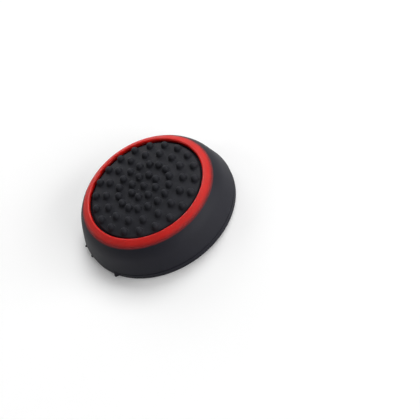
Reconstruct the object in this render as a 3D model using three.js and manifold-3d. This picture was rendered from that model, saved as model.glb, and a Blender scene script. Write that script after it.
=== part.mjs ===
// Thumb grip for a game controller's stick: a stretchy silicone cap that snaps over the stick's round head.
// The cap is moulded in black, with a crowned pad of raised nubs, and a ring of red silicone is moulded into
// the shoulder round the pad. Millimetres, +Z up, origin on the axis at the foot that the grip rests on.

import * as THREE from "three";
import { mergeVertices } from "three/addons/utils/BufferGeometryUtils.js";
import Module from "manifold-3d";

// The socket, which is sized by the stick's head, drives everything outside it.
const socketRadius = 9.4;
const socketHeight = 4.05;
const socketFillet = 0.5;
const lipThickness = 0.6;
const lipReach = 2.0;
const lipFillet = 0.25;

// The pad: its thickness over the socket, and its crown, which falls from the middle to the edge, most of it
// outside a bend.
const padThickness = 1.4;
const crownFall = 0.56;
const crownBendRadius = 6.4;

// The groove between the pad's edge and the ring's wall.
const grooveWidth = 0.32;
const grooveDepth = 0.42;

// The red ring: its width, how far its crest stands over the pad's edge and over the skirt, and the share
// of that fall that it makes at the shoulder's slope.
const ringWidth = 1.25;
const ringStand = 0.35;
const ringFall = 0.65;
const ringSlopeShare = 0.74;
const ringCrestFillet = 0.1;
const ringEdgeThickness = 0.14;

// The skirt: its wall outside the socket at the ring and at the rim, and the shoulder that rounds it over
// to the ring's slope.
const shoulderWall = 0.72;
const rimWall = 2.6;
const shoulderSlope = THREE.MathUtils.degToRad(45);
const shoulderRounding = 1.17;

// The foot under the parting line, and the narrow groove along that line.
const footHeight = 0.95;
const footInset = 0.05;
const footFillet = 0.15;
const partingGrooveWidth = 0.26;
const partingGrooveDepth = 0.22;

// The nubs: one in the middle, rows at a pitch round it, and a last row that keeps a margin to the pad's
// edge. Each row has its own count and first angle in degrees.
const nubRadius = 0.64;
const nubHeight = 0.88;
const nubPitch = 2.0;
const nubMargin = 0.14;
const nubRows = [
  { count: 8, firstAngle: -1.4 },
  { count: 16, firstAngle: 9.6 },
  { count: 16, firstAngle: -1.3 },
  { count: 20, firstAngle: 7.6 },
];

// How finely round things are divided.
const turnSegments = 72;
const turnCurveSteps = 4;
const nubSegments = 8;
const nubCurveSteps = 2;

// Heights from the foot up.
const socketRoof = lipThickness + socketHeight;
const padTop = socketRoof + padThickness;
const padEdgeHeight = padTop - crownFall;
const crestHeight = padEdgeHeight + ringStand;
const ringEdgeHeight = crestHeight - ringFall;
const ringBottom = ringEdgeHeight - ringEdgeThickness;

// Radii from the socket out.
const mouthRadius = socketRadius - lipReach;
const ringOuterRadius = socketRadius + shoulderWall;
const ringInnerRadius = ringOuterRadius - ringWidth;
const ringSeatRadius = ringOuterRadius - ringEdgeThickness;
const padRadius = ringInnerRadius - grooveWidth;
const rimRadius = socketRadius + rimWall;
const footRadius = rimRadius - footInset;

const wasm = await Module();
wasm.setup();

const blackSilicone = new THREE.MeshStandardMaterial({ color: 0x2b2c30, roughness: 0.75, metalness: 0 });
const redSilicone = new THREE.MeshStandardMaterial({ color: 0xc8241f, roughness: 0.55, metalness: 0 });

// A closed outline of radius and height, turned once round +Z.
function turned(outline, segments, curveSteps) {
  const geometry = new THREE.LatheGeometry(outline.getPoints(curveSteps), segments);
  geometry.rotateX(Math.PI / 2);
  return geometry;
}

function solidFrom(geometry) {
  const bare = geometry.clone();
  bare.deleteAttribute("normal");
  bare.deleteAttribute("uv");
  const merged = mergeVertices(bare);
  return new wasm.Manifold(
    new wasm.Mesh({
      numProp: 3,
      vertProperties: merged.attributes.position.array,
      triVerts: new Uint32Array(merged.index.array),
    }),
  );
}

function geometryFrom(solid) {
  const mesh = solid.getMesh();
  const geometry = new THREE.BufferGeometry();
  geometry.setAttribute("position", new THREE.BufferAttribute(mesh.vertProperties, 3));
  geometry.setIndex(new THREE.BufferAttribute(mesh.triVerts, 1));
  geometry.computeVertexNormals();
  return geometry;
}

// The cap's section: up the outside from the foot, down into the ring's seat, over the groove's floor and
// the pad's crown to the axis, then back along the socket's roof and wall to the lip.
function capOutline() {
  const skirtFoot = new THREE.Vector2(rimRadius, footHeight + partingGrooveWidth / 2);
  const ringEdge = new THREE.Vector2(ringOuterRadius, ringEdgeHeight);
  const shoulder = ringEdge.clone().add(
    new THREE.Vector2(Math.cos(shoulderSlope), -Math.sin(shoulderSlope)).multiplyScalar(shoulderRounding),
  );
  const skirtTop = skirtFoot.clone().sub(shoulder).setLength(shoulderRounding).add(shoulder);
  return new THREE.Path()
    .moveTo(mouthRadius + lipFillet, 0)
    .lineTo(footRadius - footFillet, 0)
    .quadraticCurveTo(footRadius, 0, footRadius, footFillet)
    .lineTo(footRadius, footHeight - partingGrooveWidth / 2)
    .lineTo(footRadius - partingGrooveDepth, footHeight)
    .lineTo(skirtFoot.x, skirtFoot.y)
    .lineTo(skirtTop.x, skirtTop.y)
    .quadraticCurveTo(shoulder.x, shoulder.y, ringEdge.x, ringEdge.y)
    .lineTo(ringSeatRadius, ringBottom)
    .lineTo(ringInnerRadius, ringBottom)
    .lineTo(ringInnerRadius, padEdgeHeight - grooveDepth)
    .lineTo(padRadius, padEdgeHeight - grooveDepth)
    .lineTo(padRadius, padEdgeHeight)
    .quadraticCurveTo(crownBendRadius, padTop, 0, padTop)
    .lineTo(0, socketRoof)
    .lineTo(socketRadius - socketFillet, socketRoof)
    .quadraticCurveTo(socketRadius, socketRoof, socketRadius, socketRoof - socketFillet)
    .lineTo(socketRadius, lipThickness)
    .lineTo(mouthRadius + lipFillet, lipThickness)
    .quadraticCurveTo(mouthRadius, lipThickness, mouthRadius, lipThickness / 2)
    .quadraticCurveTo(mouthRadius, 0, mouthRadius + lipFillet, 0);
}

// The ring's section: its seat, the face that carries on from the shoulder to the crest, and the inner wall.
function ringOutline() {
  const slopeRise = ringFall * ringSlopeShare;
  return new THREE.Path()
    .moveTo(ringInnerRadius, padEdgeHeight - grooveDepth)
    .lineTo(ringInnerRadius, ringBottom)
    .lineTo(ringSeatRadius, ringBottom)
    .lineTo(ringOuterRadius, ringEdgeHeight)
    .quadraticCurveTo(
      ringOuterRadius - slopeRise / Math.tan(shoulderSlope),
      ringEdgeHeight + slopeRise,
      ringInnerRadius + ringCrestFillet,
      crestHeight,
    )
    .quadraticCurveTo(ringInnerRadius, crestHeight, ringInnerRadius, crestHeight - ringCrestFillet)
    .lineTo(ringInnerRadius, padEdgeHeight - grooveDepth);
}

// One nub, rooted in the pad: a short stem that rounds off to a blunt tip.
function nubSolid() {
  const stem = nubHeight - nubRadius;
  const outline = new THREE.Path()
    .moveTo(0, -padThickness / 2)
    .lineTo(nubRadius, -padThickness / 2)
    .lineTo(nubRadius, stem)
    .absarc(0, stem, nubRadius, 0, Math.PI / 2);
  return solidFrom(turned(outline, nubSegments, nubCurveSteps));
}

// The crown's height at a radius: how far along its curve that radius lies, then the fall there.
function crownHeight(radius) {
  const bend = padRadius - 2 * crownBendRadius;
  const along = radius / (crownBendRadius + Math.sqrt(crownBendRadius ** 2 + bend * radius));
  return padTop - crownFall * along ** 2;
}

function nubPlaces() {
  const places = [new THREE.Vector3(0, 0, padTop)];
  nubRows.forEach(({ count, firstAngle }, row) => {
    const isLast = row === nubRows.length - 1;
    const radius = isLast ? padRadius - nubMargin - nubRadius : nubPitch * (row + 1);
    for (let i = 0; i < count; i++) {
      const angle = THREE.MathUtils.degToRad(firstAngle + (360 / count) * i);
      places.push(new THREE.Vector3(radius * Math.cos(angle), radius * Math.sin(angle), crownHeight(radius)));
    }
  });
  return places;
}

function capBody() {
  const nub = nubSolid();
  const nubs = nubPlaces().map((place) => nub.translate(place.toArray()));
  const shell = solidFrom(turned(capOutline(), turnSegments, turnCurveSteps));
  return new THREE.Mesh(geometryFrom(wasm.Manifold.union([shell, ...nubs])), blackSilicone);
}

const thumbGrip = new THREE.Group();

const cap = capBody();
cap.name = "cap_body";
thumbGrip.add(cap);

const ring = new THREE.Mesh(turned(ringOutline(), turnSegments, turnCurveSteps), redSilicone);
ring.name = "accent_ring";
thumbGrip.add(ring);

export default thumbGrip;
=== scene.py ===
# Looks for a controller thumb grip: a black silicone cap with a nubbed pad, and the red silicone ring in it.
# Sizes are in millimetres, and become metres as each mesh is made.
import math
import random

import bmesh
import bpy
from mathutils import Matrix, Vector, noise
from mathutils.geometry import delaunay_2d_cdt


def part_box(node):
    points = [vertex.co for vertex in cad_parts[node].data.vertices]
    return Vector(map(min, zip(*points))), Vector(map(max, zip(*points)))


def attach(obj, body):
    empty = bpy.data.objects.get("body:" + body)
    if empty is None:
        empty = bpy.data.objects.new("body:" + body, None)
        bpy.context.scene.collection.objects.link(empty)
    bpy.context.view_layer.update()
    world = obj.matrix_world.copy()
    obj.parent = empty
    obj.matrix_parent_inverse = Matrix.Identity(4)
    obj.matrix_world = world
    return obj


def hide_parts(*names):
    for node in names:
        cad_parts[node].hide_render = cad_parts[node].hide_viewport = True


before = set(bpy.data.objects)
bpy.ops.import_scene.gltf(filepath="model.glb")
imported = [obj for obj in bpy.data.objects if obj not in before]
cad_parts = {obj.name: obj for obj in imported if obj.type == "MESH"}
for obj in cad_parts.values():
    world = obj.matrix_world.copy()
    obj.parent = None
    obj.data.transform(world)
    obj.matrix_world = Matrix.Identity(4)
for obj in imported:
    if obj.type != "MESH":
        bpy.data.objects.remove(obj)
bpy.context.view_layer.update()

MM = 0.001

# The sizes that the solids give.
cap_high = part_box("cap_body")[1] / MM
ring_low, ring_high = (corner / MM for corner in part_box("accent_ring"))
RIM_RADIUS = cap_high.x
RING_RADIUS = ring_high.x
RING_CREST = ring_high.z
RING_BOTTOM = ring_low.z

# The red ring: its width, how far its crest stands over the pad's edge and over the skirt, and the share of
# that fall that it makes at the shoulder's slope of 45 degrees. A short flat joins the crest to its fillet.
RING_WIDTH = 1.25
RING_STAND = 0.35
RING_FALL = 0.65
RING_SLOPE_SHARE = 0.74
RING_CREST_FILLET = 0.2
RING_CREST_FLAT = 0.01
RING_INNER_RADIUS = RING_RADIUS - RING_WIDTH
RING_EDGE = RING_CREST - RING_FALL
RING_SEAT_RADIUS = RING_RADIUS - (RING_EDGE - RING_BOTTOM)

# The groove between the pad and the ring.
GROOVE_WIDTH = 0.26
GROOVE_DEPTH = 0.34
GROOVE_FILLET = 0.03

# The pad inside the groove: its crown, which falls mostly outside a bend, and its rounded edge. The last of
# that edge, from where the crown ends, belongs to the groove's wall, and with the groove it takes the skirt's
# darker black as painted shade in the groove.
CROWN_FALL = 0.56
CROWN_BEND_RADIUS = 6.4
PAD_ROUNDING = 0.3
PAD_EDGE_WIDTH = 0.09
PAD_EDGE_DROP = 0.26
PAD_EDGE_FILLET = 0.04
PAD_RADIUS = RING_INNER_RADIUS - GROOVE_WIDTH
PAD_EDGE_HEIGHT = RING_CREST - RING_STAND
PAD_TOP = PAD_EDGE_HEIGHT + CROWN_FALL
CROWN_END = PAD_RADIUS - PAD_EDGE_WIDTH

# The shoulder that rounds the skirt over to the ring, and the parting line's groove.
SHOULDER_ROUNDING = 1.17
PARTING_HEIGHT = 0.95
PARTING_GROOVE = 0.26
PARTING_DEPTH = 0.22
PARTING_EDGE_FILLET = 0.05
PARTING_FLOOR_FILLET = 0.03

# The foot under the parting line, with the heights of the rows of points that flash can move.
FOOT_INSET = 0.05
FOOT_RADIUS = RIM_RADIUS - FOOT_INSET
FOOT_FILLET = 0.15
FOOT_ROWS = (0.65, 0.5, 0.4, 0.3)

# The socket and the lip round its mouth.
SOCKET_RADIUS = 9.4
SOCKET_ROOF = 4.65
SOCKET_FILLET = 0.5
LIP_THICKNESS = 0.6
LIP_FILLET = 0.25
LIP_ROOT_FILLET = 0.1
MOUTH_RADIUS = 7.4

# The nubs: one in the middle, then rows of (count, first angle in degrees) at a pitch, the last by the pad's
# edge. A fillet blends each one's foot into the pad, and its sides lean in to a round top.
NUB_ROWS = [(8, -1.4), (16, 9.6), (16, -1.3), (20, 7.6)]
NUB_PITCH = 2.0
NUB_MARGIN = 0.26
NUB_RADIUS = 0.58
NUB_HEIGHT = 0.8
NUB_UNEVENNESS = 0.04
NUB_FILLET = 0.1
NUB_DRAFT = 0.04
NUB_SEED = 61

# Bits of flash by the parting line, and last a nick in it, each as (angle and width in degrees, height above
# the floor, how far it stands out). A mark fades out above and below over its tallness, and reaches a few
# times as far. Between the marks a faint line of flash comes and goes with noise, which has so many cells
# along a radius.
PARTING_MARKS = [
    (175.5, 1.1, 0.75, 0.45),
    (186.5, 1.2, 0.7, 0.3),
    (214.5, 2.1, 0.5, 0.55),
    (271.5, 0.5, 0.95, -0.12),
]
MARK_TALLNESS = 0.16
MARK_REACH = 4
LINE_STAND = 0.025
LINE_NOISE_SCALE = 30

# How finely round things and curves are divided, how far apart the points on the pad lie, how far inside its
# edge the finer laps of them run, and how the pad's points are joined: only inside its edge, with points
# that lie this close taken as one.
TURN_SEGMENTS = 360
FILLET_STEPS = 5
SHOULDER_STEPS = 10
RING_FACE_STEPS = 14
NUB_SEGMENTS = 24
NUB_FILLET_STEPS = 4
NUB_TOP_STEPS = 8
PAD_SPACING = 0.4
PAD_EDGE_LAPS = (0.06, 0.12, 0.18, 0.24)
JOIN_INSIDE = 1
JOIN_TOLERANCE = 1e-6

# The finish: matt on the pad, soft on the skirt and the ring, and polished in a band along the ring's crest.
# Light goes into the red silicone and comes out again near by.
PAD_ROUGHNESS = 0.5
PAD_SHINE = 0.07
SKIRT_ROUGHNESS = 0.6
SKIRT_SHINE = 0.29
RING_ROUGHNESS = 0.6
CREST_ROUGHNESS = 0.25
RING_SHINE = 0.26
CREST_BAND = 0.2
CREST_FADE = 0.1
RED_SPREAD = 0.45
RED_SPREAD_BY_COLOUR = (1.0, 0.05, 0.05)

# Where the red begins and where it is full, from the ring's outer edge inwards, how it fades out between, and
# how uneven that is. The fade is partly the red thinning over the black and partly painted shade where the
# ring's face turns down to the skirt. On the cap only the skirt is tinted, which begins just inside the
# ring's outer edge.
# The scale of a material's noise is how many of its cells there are in a metre.
RED_END = -0.27
RED_FULL = 0.56
RED_THINNING_AND_SHADE = 1.3
RED_UNEVENNESS = 0.1
RED_UNEVENNESS_SCALE = 1500.0
NOISE_MIDDLE = 0.5
TINT_MARGIN = 0.1

BLACK_PAD = (0.0228, 0.0234, 0.0282, 1)
# The skirt's black, which also darkens the groove by the pad as painted shade.
BLACK_SKIRT_AND_GROOVE_SHADE = (0.0068, 0.0068, 0.0128, 1)
RED = (0.54, 0.013, 0.009, 1)
DUST = (0.16, 0.16, 0.17, 1)

# Clouds in the colours: their scale and detail, and the levels of noise that give the darkest and the
# brightest, with how dark and bright those are. Then the fine grain of the surface.
CLOUD_SCALE = 420.0
CLOUD_DETAIL = 3.0
CLOUD_LEVELS = (0.2, 0.8)
CLOUD_BRIGHTNESS = (0.88, 1.12)
GRAIN_SCALE = 9000.0
GRAIN_STRENGTH = 0.15
GRAIN_DEPTH = 0.02

# The dust: how many cells there are in a metre, the share of them without a speck, and how far from its
# middle, in parts of a cell, a speck has faded out and is still full.
DUST_CELLS = 1100.0
DUST_FREE = 0.9
SPECK_FADE = (0.09, 0.05)

# The camera keeps the photograph's view of the grip, which leans there: the camera rolls instead. The middle
# of the grip's foot lies this far to the right, up and back from the camera.
CAMERA_ELEVATION = 47.72
CAMERA_ROLL = 31.4
GRIP_IN_VIEW = Vector((-7.38, -0.08, -177.87))
SENSOR = 36
LENS = 102.86
CLIP_START = 10
CLIP_END = 10000

# The floor's colour for light that falls on the grip, and for the camera and reflections, which also see it
# a little brighter than it is lit.
FLOOR_GREY = (0.8, 0.8, 0.8, 1)
WHITE = (1.0, 1.0, 1.0, 1)
FLOOR_LIFT = 0.03
FLOOR_ROUGHNESS = 0.9
FLOOR_RADIUS = 2000
FLOOR_SEGMENTS = 64

# The light: its level all round, the level that the camera sees past the floor, and square lamps of one size
# at one distance from the grip, both in metres. Each lamp has a name, an azimuth, an elevation and a power in
# watts. Azimuth 0 is the camera's side and 90 is +X.
WORLD_LIGHT = 0.215
WORLD_SEEN = 1.0
LAMP_DISTANCE = 1.2
LAMP_SIZE = 0.6
LAMPS = [
    ("key", 138, 48, 7.6),
    ("back", 184, 20, 3.2),
    ("behind", 150, 20, 0.8),
    ("side", 62, 17, 6.2),
    ("right", 95, 46, 1.0),
    ("left", 245, 30, 1.6),
    ("front", 26, 20, 4.9),
]


def crown_height(radius):
    """The height of the pad, from how far along the crown's curve the radius lies and the rounded edge."""
    bend = PAD_RADIUS - 2 * CROWN_BEND_RADIUS
    along = radius / (CROWN_BEND_RADIUS + math.sqrt(CROWN_BEND_RADIUS**2 + bend * radius))
    past = max(0, min(radius, CROWN_END) - (PAD_RADIUS - PAD_ROUNDING))
    edge_fall = PAD_ROUNDING - math.sqrt(PAD_ROUNDING**2 - past**2)
    return PAD_TOP - CROWN_FALL * along**2 - edge_fall


def rounded(corners):
    """Points along an outline of (radius, height, fillet) corners, with an arc at each that has a fillet."""
    points = []
    for i, (radius, height, fillet) in enumerate(corners):
        here = Vector((radius, height))
        if not fillet:
            points.append(here)
            continue
        back = (Vector(corners[i - 1][:2]) - here).normalized()
        on = (Vector(corners[(i + 1) % len(corners)][:2]) - here).normalized()
        half = back.angle(on) / 2
        centre = here + (back + on).normalized() * fillet / math.sin(half)
        start = (here + back * fillet / math.tan(half) - centre).normalized()
        end = (here + on * fillet / math.tan(half) - centre).normalized()
        points += [
            centre + start.slerp(end, k / FILLET_STEPS) * fillet
            for k in range(FILLET_STEPS + 1)
        ]
    return points


def curved(start, control, end, steps):
    """Corners without a fillet along a curve from start to end that leans to its control point."""
    corners = []
    for k in range(1, steps):
        t = k / steps
        point = start * (1 - t) ** 2 + control * 2 * t * (1 - t) + end * t**2
        corners.append((point.x, point.y, 0))
    return corners


def cap_outline():
    """The cap's section: from the pad's edge through the ring's seat, down the skirt and up the socket."""
    ring_edge = Vector((RING_RADIUS, RING_EDGE))
    shoulder = ring_edge + Vector((1, -1)).normalized() * SHOULDER_ROUNDING
    skirt_end = Vector((RIM_RADIUS, PARTING_HEIGHT + PARTING_GROOVE / 2))
    skirt_top = shoulder + (skirt_end - shoulder).normalized() * SHOULDER_ROUNDING
    groove_floor = PAD_EDGE_HEIGHT - GROOVE_DEPTH
    return rounded([
        (CROWN_END, crown_height(CROWN_END), 0),
        (PAD_RADIUS, PAD_EDGE_HEIGHT - PAD_EDGE_DROP, PAD_EDGE_FILLET),
        (PAD_RADIUS, groove_floor, GROOVE_FILLET),
        (RING_INNER_RADIUS, groove_floor, 0),
        (RING_INNER_RADIUS, RING_BOTTOM, 0),
        (RING_SEAT_RADIUS, RING_BOTTOM, 0),
        (ring_edge.x, ring_edge.y, 0),
        *curved(ring_edge, shoulder, skirt_top, SHOULDER_STEPS),
        (skirt_top.x, skirt_top.y, 0),
        (skirt_end.x, skirt_end.y, PARTING_EDGE_FILLET),
        (FOOT_RADIUS - PARTING_DEPTH, PARTING_HEIGHT, PARTING_FLOOR_FILLET),
        (FOOT_RADIUS, PARTING_HEIGHT - PARTING_GROOVE / 2, PARTING_EDGE_FILLET),
        *((FOOT_RADIUS, height, 0) for height in FOOT_ROWS),
        (FOOT_RADIUS, 0, FOOT_FILLET),
        (MOUTH_RADIUS, 0, LIP_FILLET),
        (MOUTH_RADIUS, LIP_THICKNESS, LIP_FILLET),
        (SOCKET_RADIUS, LIP_THICKNESS, LIP_ROOT_FILLET),
        (SOCKET_RADIUS, SOCKET_ROOF, SOCKET_FILLET),
        (0, SOCKET_ROOF, 0),
    ])


def ring_outline():
    """The ring's section: the face from the shoulder up to the crest, the inner wall, and the seat."""
    edge = Vector((RING_RADIUS, RING_EDGE))
    slope_rise = RING_FALL * RING_SLOPE_SHARE
    control = edge + Vector((-slope_rise, slope_rise))
    crest = Vector((RING_INNER_RADIUS + RING_CREST_FILLET + RING_CREST_FLAT, RING_CREST))
    return rounded([
        (edge.x, edge.y, 0),
        *curved(edge, control, crest, RING_FACE_STEPS),
        (crest.x, crest.y, 0),
        (RING_INNER_RADIUS, RING_CREST, RING_CREST_FILLET),
        (RING_INNER_RADIUS, RING_BOTTOM, 0),
        (RING_SEAT_RADIUS, RING_BOTTOM, 0),
    ])


def flash(radius, height, angle):
    """How far flash on the parting line moves a point of the cap outwards."""
    if radius < FOOT_RADIUS - PARTING_DEPTH or height > PARTING_HEIGHT + MARK_REACH * MARK_TALLNESS:
        return 0
    line = max(0, noise.noise(Vector((math.cos(angle), math.sin(angle), 0)) * LINE_NOISE_SCALE))
    push = LINE_STAND * line * math.exp(-(((height - PARTING_HEIGHT) / MARK_TALLNESS) ** 2))
    for at, width, level, size in PARTING_MARKS:
        off = (math.degrees(angle) - at + 180) % 360 - 180
        push += size * math.exp(-((off / width) ** 2) - ((height - level) / MARK_TALLNESS) ** 2)
    return push


def ring_of(bm, radius, height, segments, centre=Vector((0, 0)), push=None):
    """One level circle of vertices, each moved outwards by push if it is given."""
    verts = []
    for k in range(segments):
        angle = 2 * math.pi * k / segments
        reach = radius + (push(radius, height, angle) if push else 0)
        x = centre.x + reach * math.cos(angle)
        y = centre.y + reach * math.sin(angle)
        verts.append(bm.verts.new((x, y, height)))
    return verts


def band(bm, lower, upper):
    """Faces between two circles of vertices."""
    for k in range(len(lower)):
        on = (k + 1) % len(lower)
        bm.faces.new((lower[k], lower[on], upper[on], upper[k]))


def fan(bm, circle, tip):
    """Faces from a circle of vertices to one in the middle."""
    for k in range(len(circle)):
        bm.faces.new((circle[k], circle[(k + 1) % len(circle)], tip))


def nub_centres():
    """Where each nub stands on the pad."""
    centres = [Vector((0, 0))]
    for row, (count, first) in enumerate(NUB_ROWS, start=1):
        is_last = row == len(NUB_ROWS)
        radius = PAD_RADIUS - NUB_MARGIN - NUB_RADIUS if is_last else NUB_PITCH * row
        for k in range(count):
            angle = math.radians(first + 360 * k / count)
            centres.append(Vector((math.cos(angle), math.sin(angle))) * radius)
    return centres


def quarter_turn(steps, count):
    """The first count of the angles that divide a quarter turn into steps."""
    return [math.pi / 2 * k / steps for k in range(count)]


def nub(bm, centre, height):
    """A blunt nub that grows out of the crown, and the circle of vertices at its foot."""
    dome = NUB_RADIUS - NUB_DRAFT
    stem = height - dome
    profile = [
        Vector((NUB_RADIUS + NUB_FILLET * (1 - math.sin(a)), NUB_FILLET * (1 - math.cos(a))))
        for a in quarter_turn(NUB_FILLET_STEPS, NUB_FILLET_STEPS + 1)
    ]
    profile += [
        Vector((dome * math.cos(a), stem + dome * math.sin(a)))
        for a in quarter_turn(NUB_TOP_STEPS, NUB_TOP_STEPS)
    ]
    circles = [ring_of(bm, p.x, p.y, NUB_SEGMENTS, centre) for p in profile]
    tip = bm.verts.new((centre.x, centre.y, height))
    for vert in [tip, *(vert for circle in circles for vert in circle)]:
        vert.co.z += crown_height(vert.co.xy.length)
    for lower, upper in zip(circles, circles[1:]):
        band(bm, lower, upper)
    fan(bm, circles[-1], tip)
    return circles[0]


def crown_points(centres):
    """Points spread over the pad, clear of the nubs' feet and of the pad's edge."""
    foot = NUB_RADIUS + NUB_FILLET
    lap_count = int(PAD_RADIUS / PAD_SPACING)
    laps = [(PAD_SPACING * lap, round(2 * math.pi * lap)) for lap in range(1, lap_count)]
    laps += [(CROWN_END - back, TURN_SEGMENTS) for back in PAD_EDGE_LAPS]
    points = []
    for radius, count in laps:
        clear = foot + min(PAD_SPACING, math.pi * radius / count)
        for k in range(count):
            angle = 2 * math.pi * k / count
            point = Vector((math.cos(angle), math.sin(angle))) * radius
            if all((point - centre).length > clear for centre in centres):
                points.append(point)
    return points


def pad(bm, edge, feet, centres):
    """The pad's crown, between its edge and the feet of the nubs."""
    verts = list(edge)
    for foot in feet:
        verts += foot
    edges = []
    start = 0
    for loop in [edge, *feet]:
        edges += [(start + k, start + (k + 1) % len(loop)) for k in range(len(loop))]
        start += len(loop)
    verts += [
        bm.verts.new((point.x, point.y, crown_height(point.length)))
        for point in crown_points(centres)
    ]
    flat = [vert.co.xy for vert in verts]
    _, _, faces, origins, _, _ = delaunay_2d_cdt(flat, edges, [], JOIN_INSIDE, JOIN_TOLERANCE)
    foot_of = {vert: i for i, foot in enumerate(feet) for vert in foot}
    for face in faces:
        corners = [verts[origins[i][0]] for i in face]
        owners = {foot_of.get(vert) for vert in corners}
        inside_a_nub = len(owners) == 1 and None not in owners
        if not inside_a_nub:
            bm.faces.new(corners)


def finish_mesh(bm, name):
    """A smooth object from a mesh built in millimetres."""
    bmesh.ops.recalc_face_normals(bm, faces=bm.faces)
    bmesh.ops.scale(bm, vec=(MM, MM, MM), verts=bm.verts)
    mesh = bpy.data.meshes.new(name)
    bm.to_mesh(mesh)
    bm.free()
    mesh.shade_smooth()
    piece = bpy.data.objects.new(name, mesh)
    bpy.context.scene.collection.objects.link(piece)
    return piece


def make_cap():
    """The black cap: the pad with its nubs, in the second material, and everything turned round it, in the
    first. That puts the groove and the pad's rounded edge in the skirt's darker black, as painted shade in
    the groove.
    """
    rng = random.Random(NUB_SEED)
    bm = bmesh.new()
    outline = cap_outline()
    circles = [ring_of(bm, p.x, p.y, TURN_SEGMENTS, push=flash) for p in outline[:-1]]
    for upper, lower in zip(circles, circles[1:]):
        band(bm, lower, upper)
    fan(bm, circles[-1], bm.verts.new((0, 0, SOCKET_ROOF)))
    centres = nub_centres()
    feet = [nub(bm, centre, NUB_HEIGHT - rng.uniform(0, NUB_UNEVENNESS)) for centre in centres]
    pad(bm, circles[0], feet, centres)
    # The groove and the pad's rounded edge keep the skirt's darker black: painted shade in the groove.
    for face in bm.faces:
        middle = face.calc_center_median()
        face.material_index = int(middle.z > SOCKET_ROOF and middle.xy.length < CROWN_END)
    return finish_mesh(bm, "silicone_cap")


def make_ring():
    """The red ring, closed all round in its seat."""
    bm = bmesh.new()
    circles = [ring_of(bm, p.x, p.y, TURN_SEGMENTS) for p in ring_outline()]
    for upper, lower in zip(circles, circles[1:] + circles[:1]):
        band(bm, lower, upper)
    return finish_mesh(bm, "silicone_ring")


class Shader:
    """A material's nodes, made and linked in few words."""

    def __init__(self, name):
        self.material = bpy.data.materials.new(name)
        self.material.use_nodes = True
        self.tree = self.material.node_tree
        self.surface = self.tree.nodes["Principled BSDF"]

    def node(self, kind, **inputs):
        """A new node, with inputs by name: an underscore stands for a space."""
        made = self.tree.nodes.new(kind)
        for key, value in inputs.items():
            self.feed(made.inputs[key.replace("_", " ")], value)
        return made

    def feed(self, socket, value):
        """Links the socket to another one, or sets it to a plain value."""
        if isinstance(value, bpy.types.NodeSocket):
            self.tree.links.new(value, socket)
        else:
            socket.default_value = value

    def math(self, operation, *values):
        """One step of arithmetic."""
        made = self.tree.nodes.new("ShaderNodeMath")
        made.operation = operation
        for socket, value in zip(made.inputs, values):
            self.feed(socket, value)
        return made.outputs[0]

    def ramp(self, value, low, high, to_low=0.0, to_high=1.0):
        """value, led from to_low at low to to_high at high, and held outside them."""
        made = self.tree.nodes.new("ShaderNodeMapRange")
        for socket, given in zip(made.inputs, (value, low, high, to_low, to_high)):
            self.feed(socket, given)
        return made.outputs[0]

    def blend(self, factor, first, second):
        """A colour between two. The node repeats its sockets' names, so they go by number."""
        made = self.tree.nodes.new("ShaderNodeMix")
        made.data_type = "RGBA"
        self.feed(made.inputs[0], factor)
        self.feed(made.inputs[6], first)
        self.feed(made.inputs[7], second)
        return made.outputs[2]

    def noise(self, place, scale, detail=2.0):
        """Smooth noise from 0 to 1."""
        return self.node("ShaderNodeTexNoise", Vector=place, Scale=scale, Detail=detail).outputs["Fac"]

    def radius_and_height(self, place):
        """How far a place lies from the grip's axis, and how high."""
        split = self.node("ShaderNodeSeparateXYZ", Vector=place)
        across = self.math("POWER", split.outputs["X"], 2.0)
        along = self.math("POWER", split.outputs["Y"], 2.0)
        return self.math("SQRT", self.math("ADD", across, along)), split.outputs["Z"]


def redness_and_edge_shade(shader, place, radius, height):
    """How red the surface is: full on the ring, fading out over its outer edge and gone just past it. The
    fade is partly the red thinning over the black and partly painted shade where the face turns down.
    """
    out = shader.math("SUBTRACT", radius, RING_RADIUS * MM)
    up = shader.math("SUBTRACT", height, RING_EDGE * MM)
    inside = shader.math("MULTIPLY", shader.math("SUBTRACT", up, out), math.sqrt(0.5))
    swing = shader.math("SUBTRACT", shader.noise(place, RED_UNEVENNESS_SCALE), NOISE_MIDDLE)
    uneven = shader.math("MULTIPLY", swing, RED_UNEVENNESS * MM)
    depth = shader.ramp(shader.math("ADD", inside, uneven), RED_END * MM, RED_FULL * MM)
    # The share of black: partly the red thinning over it, partly painted shade where the face turns down.
    thin = shader.math("SUBTRACT", 1.0, depth)
    return shader.math("SUBTRACT", 1.0, shader.math("POWER", thin, RED_THINNING_AND_SHADE))


def moulded(shader, place, colour, rough, shine):
    """The finish of moulded silicone: a colour that is slightly cloudy, a soft shine and a fine grain."""
    clouds = shader.noise(place, CLOUD_SCALE, CLOUD_DETAIL)
    brightness = shader.ramp(clouds, *CLOUD_LEVELS, *CLOUD_BRIGHTNESS)
    cloudy = shader.node("ShaderNodeHueSaturation", Color=colour, Value=brightness)
    shader.feed(shader.surface.inputs["Base Color"], cloudy.outputs["Color"])
    shader.feed(shader.surface.inputs["Roughness"], rough)
    shader.feed(shader.surface.inputs["Specular IOR Level"], shine)
    grain = shader.noise(place, GRAIN_SCALE)
    bump = shader.node("ShaderNodeBump", Strength=GRAIN_STRENGTH, Distance=GRAIN_DEPTH * MM, Height=grain)
    shader.feed(shader.surface.inputs["Normal"], bump.outputs["Normal"])


def dust(shader, place):
    """Specks of dust: a small dot in a few of the cells that the surface falls into."""
    cells = shader.node("ShaderNodeTexVoronoi", Vector=place, Scale=DUST_CELLS)
    chance = shader.node("ShaderNodeSeparateColor", Color=cells.outputs["Color"]).outputs["Red"]
    near = shader.ramp(cells.outputs["Distance"], *SPECK_FADE)
    return shader.math("MULTIPLY", near, shader.math("GREATER_THAN", chance, DUST_FREE))


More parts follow.
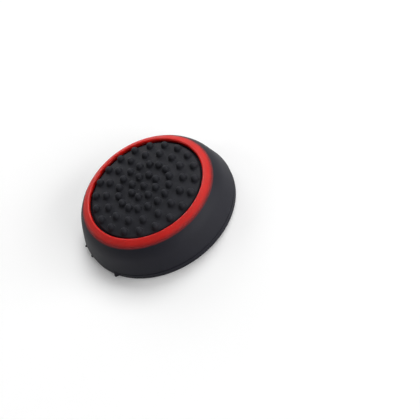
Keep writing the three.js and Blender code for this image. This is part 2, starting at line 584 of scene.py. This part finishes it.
def pad_silicone():
    """The matt black of the pad, with a few specks of dust."""
    shader = Shader("black_silicone_pad")
    place = shader.node("ShaderNodeTexCoord").outputs["Object"]
    colour = shader.blend(dust(shader, place), BLACK_PAD, DUST)
    moulded(shader, place, colour, PAD_ROUGHNESS, PAD_SHINE)
    return shader.material


def skirt_silicone_and_groove_shade():
    """The satin black of the skirt, tinted red where it meets the ring, where the fade is partly painted
    shade. The same darker black on the groove by the pad is painted shade there.
    """
    shader = Shader("black_silicone")
    place = shader.node("ShaderNodeTexCoord").outputs["Object"]
    radius, height = shader.radius_and_height(place)
    beside_ring = shader.ramp(radius, (RING_RADIUS - TINT_MARGIN) * MM, RING_RADIUS * MM)
    red = shader.math("MULTIPLY", redness_and_edge_shade(shader, place, radius, height), beside_ring)
    colour = shader.blend(red, BLACK_SKIRT_AND_GROOVE_SHADE, RED)
    moulded(shader, place, colour, SKIRT_ROUGHNESS, SKIRT_SHINE)
    return shader.material


def ring_silicone():
    """The ring's red, which fades into the black at its outer edge: partly the red thinning over the black,
    partly painted shade where the face turns down.
    """
    shader = Shader("red_silicone")
    place = shader.node("ShaderNodeTexCoord").outputs["Object"]
    radius, height = shader.radius_and_height(place)
    colour = shader.blend(redness_and_edge_shade(shader, place, radius, height), BLACK_SKIRT_AND_GROOVE_SHADE, RED)
    crest_edge = RING_INNER_RADIUS + CREST_BAND
    crest = shader.ramp(radius, (crest_edge + CREST_FADE) * MM, crest_edge * MM)
    rough = shader.ramp(crest, 0.0, 1.0, RING_ROUGHNESS, CREST_ROUGHNESS)
    moulded(shader, place, colour, rough, RING_SHINE)
    shader.surface.inputs["Subsurface Weight"].default_value = 1.0
    shader.surface.inputs["Subsurface Radius"].default_value = RED_SPREAD_BY_COLOUR
    shader.surface.inputs["Subsurface Scale"].default_value = RED_SPREAD * MM
    return shader.material


def make_camera():
    """The camera that looks at the grip."""
    data = bpy.data.cameras.new("camera")
    data.sensor_width = SENSOR
    data.lens = LENS
    data.clip_start = CLIP_START * MM
    data.clip_end = CLIP_END * MM
    camera = bpy.data.objects.new("camera", data)
    tilt = Matrix.Rotation(math.radians(90 - CAMERA_ELEVATION), 3, "X")
    turn = tilt @ Matrix.Rotation(math.radians(-CAMERA_ROLL), 3, "Z")
    place = -(turn @ (GRIP_IN_VIEW * MM))
    camera.matrix_world = Matrix.Translation(place) @ turn.to_4x4()
    bpy.context.scene.collection.objects.link(camera)
    bpy.context.scene.camera = camera


def make_floor():
    """A round pale floor under the grip, white to the camera and in reflections, with the grip's shadow."""
    bm = bmesh.new()
    bmesh.ops.create_circle(bm, cap_ends=True, segments=FLOOR_SEGMENTS, radius=FLOOR_RADIUS)
    floor = finish_mesh(bm, "floor")
    shader = Shader("floor_white")
    path = shader.node("ShaderNodeLightPath")
    seen = shader.math("MAXIMUM", path.outputs["Is Camera Ray"], path.outputs["Is Glossy Ray"])
    seen = shader.math("MAXIMUM", seen, path.outputs["Is Transmission Ray"])
    shader.feed(shader.surface.inputs["Base Color"], shader.blend(seen, FLOOR_GREY, WHITE))
    shader.surface.inputs["Emission Color"].default_value = WHITE
    shader.feed(shader.surface.inputs["Emission Strength"], shader.math("MULTIPLY", seen, FLOOR_LIFT))
    shader.surface.inputs["Roughness"].default_value = FLOOR_ROUGHNESS
    shader.surface.inputs["Specular IOR Level"].default_value = 0
    floor.data.materials.append(shader.material)


def make_world():
    """Soft light from all round, and plain white where the camera looks past the floor."""
    world = bpy.data.worlds.new("studio")
    world.use_nodes = True
    tree = world.node_tree
    path = tree.nodes.new("ShaderNodeLightPath")
    level = tree.nodes.new("ShaderNodeMapRange")
    tree.links.new(path.outputs["Is Camera Ray"], level.inputs["Value"])
    level.inputs["To Min"].default_value = WORLD_LIGHT
    level.inputs["To Max"].default_value = WORLD_SEEN
    tree.links.new(level.outputs["Result"], tree.nodes["Background"].inputs["Strength"])
    tree.nodes["Background"].inputs["Color"].default_value = WHITE
    bpy.context.scene.world = world


def lamp(name, azimuth, elevation, power):
    """A square soft lamp that looks at the grip."""
    data = bpy.data.lights.new(name, "AREA")
    data.size = LAMP_SIZE
    data.energy = power
    light = bpy.data.objects.new(name, data)
    around = math.radians(azimuth)
    up = math.radians(elevation)
    level = math.cos(up)
    back = Vector((math.sin(around) * level, -math.cos(around) * level, math.sin(up)))
    light.location = back * LAMP_DISTANCE
    light.rotation_euler = back.to_track_quat("Z", "Y").to_euler()
    bpy.context.scene.collection.objects.link(light)


cap = make_cap()
cap.data.materials.append(skirt_silicone_and_groove_shade())
cap.data.materials.append(pad_silicone())
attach(cap, "root")
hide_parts("cap_body")

ring = make_ring()
ring.data.materials.append(ring_silicone())
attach(ring, "root")
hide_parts("accent_ring")

make_camera()
make_floor()
make_world()
for name, azimuth, elevation, power in LAMPS:
    lamp(name, azimuth, elevation, power)

bpy.context.scene.view_settings.view_transform = "Standard"
